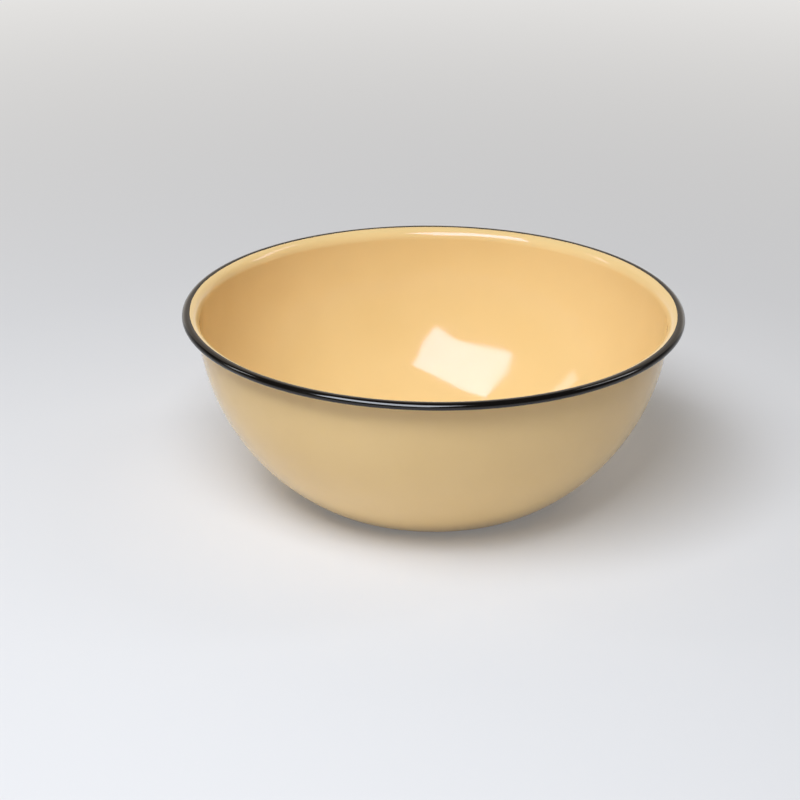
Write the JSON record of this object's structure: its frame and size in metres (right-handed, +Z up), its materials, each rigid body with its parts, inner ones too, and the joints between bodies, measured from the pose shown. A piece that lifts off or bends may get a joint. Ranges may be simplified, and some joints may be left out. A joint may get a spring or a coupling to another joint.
{
  "type": "enamel basin bowl",
  "caption": "Round enamelled steel basin bowl with a flat base, a curved wall and a flared lip rolled under into a black edge; cream enamel inside and out, for mixing, washing and serving.",
  "frame": {"origin": "centre of the flat underside, on the table", "axes": "+Z up along the axis that the bowl is turned about; +Y away from the picture's viewer"},
  "size_m": [0.26, 0.26, 0.098],
  "materials": {
    "steel": "bare pressed sheet, hidden under the enamel",
    "ground_enamel": "dark fired ground coat, hidden under the cover coats",
    "cream_enamel": "glossy fired enamel",
    "black_enamel": "glossy fired enamel"
  },
  "bodies": {
    "root": {"steel_bowl": "steel", "inside_ground_coat": "ground_enamel", "outside_ground_coat": "ground_enamel", "inside_enamel": "cream_enamel", "outside_enamel": "cream_enamel", "rim_enamel": "black_enamel"}
  },
  "joints": []
}
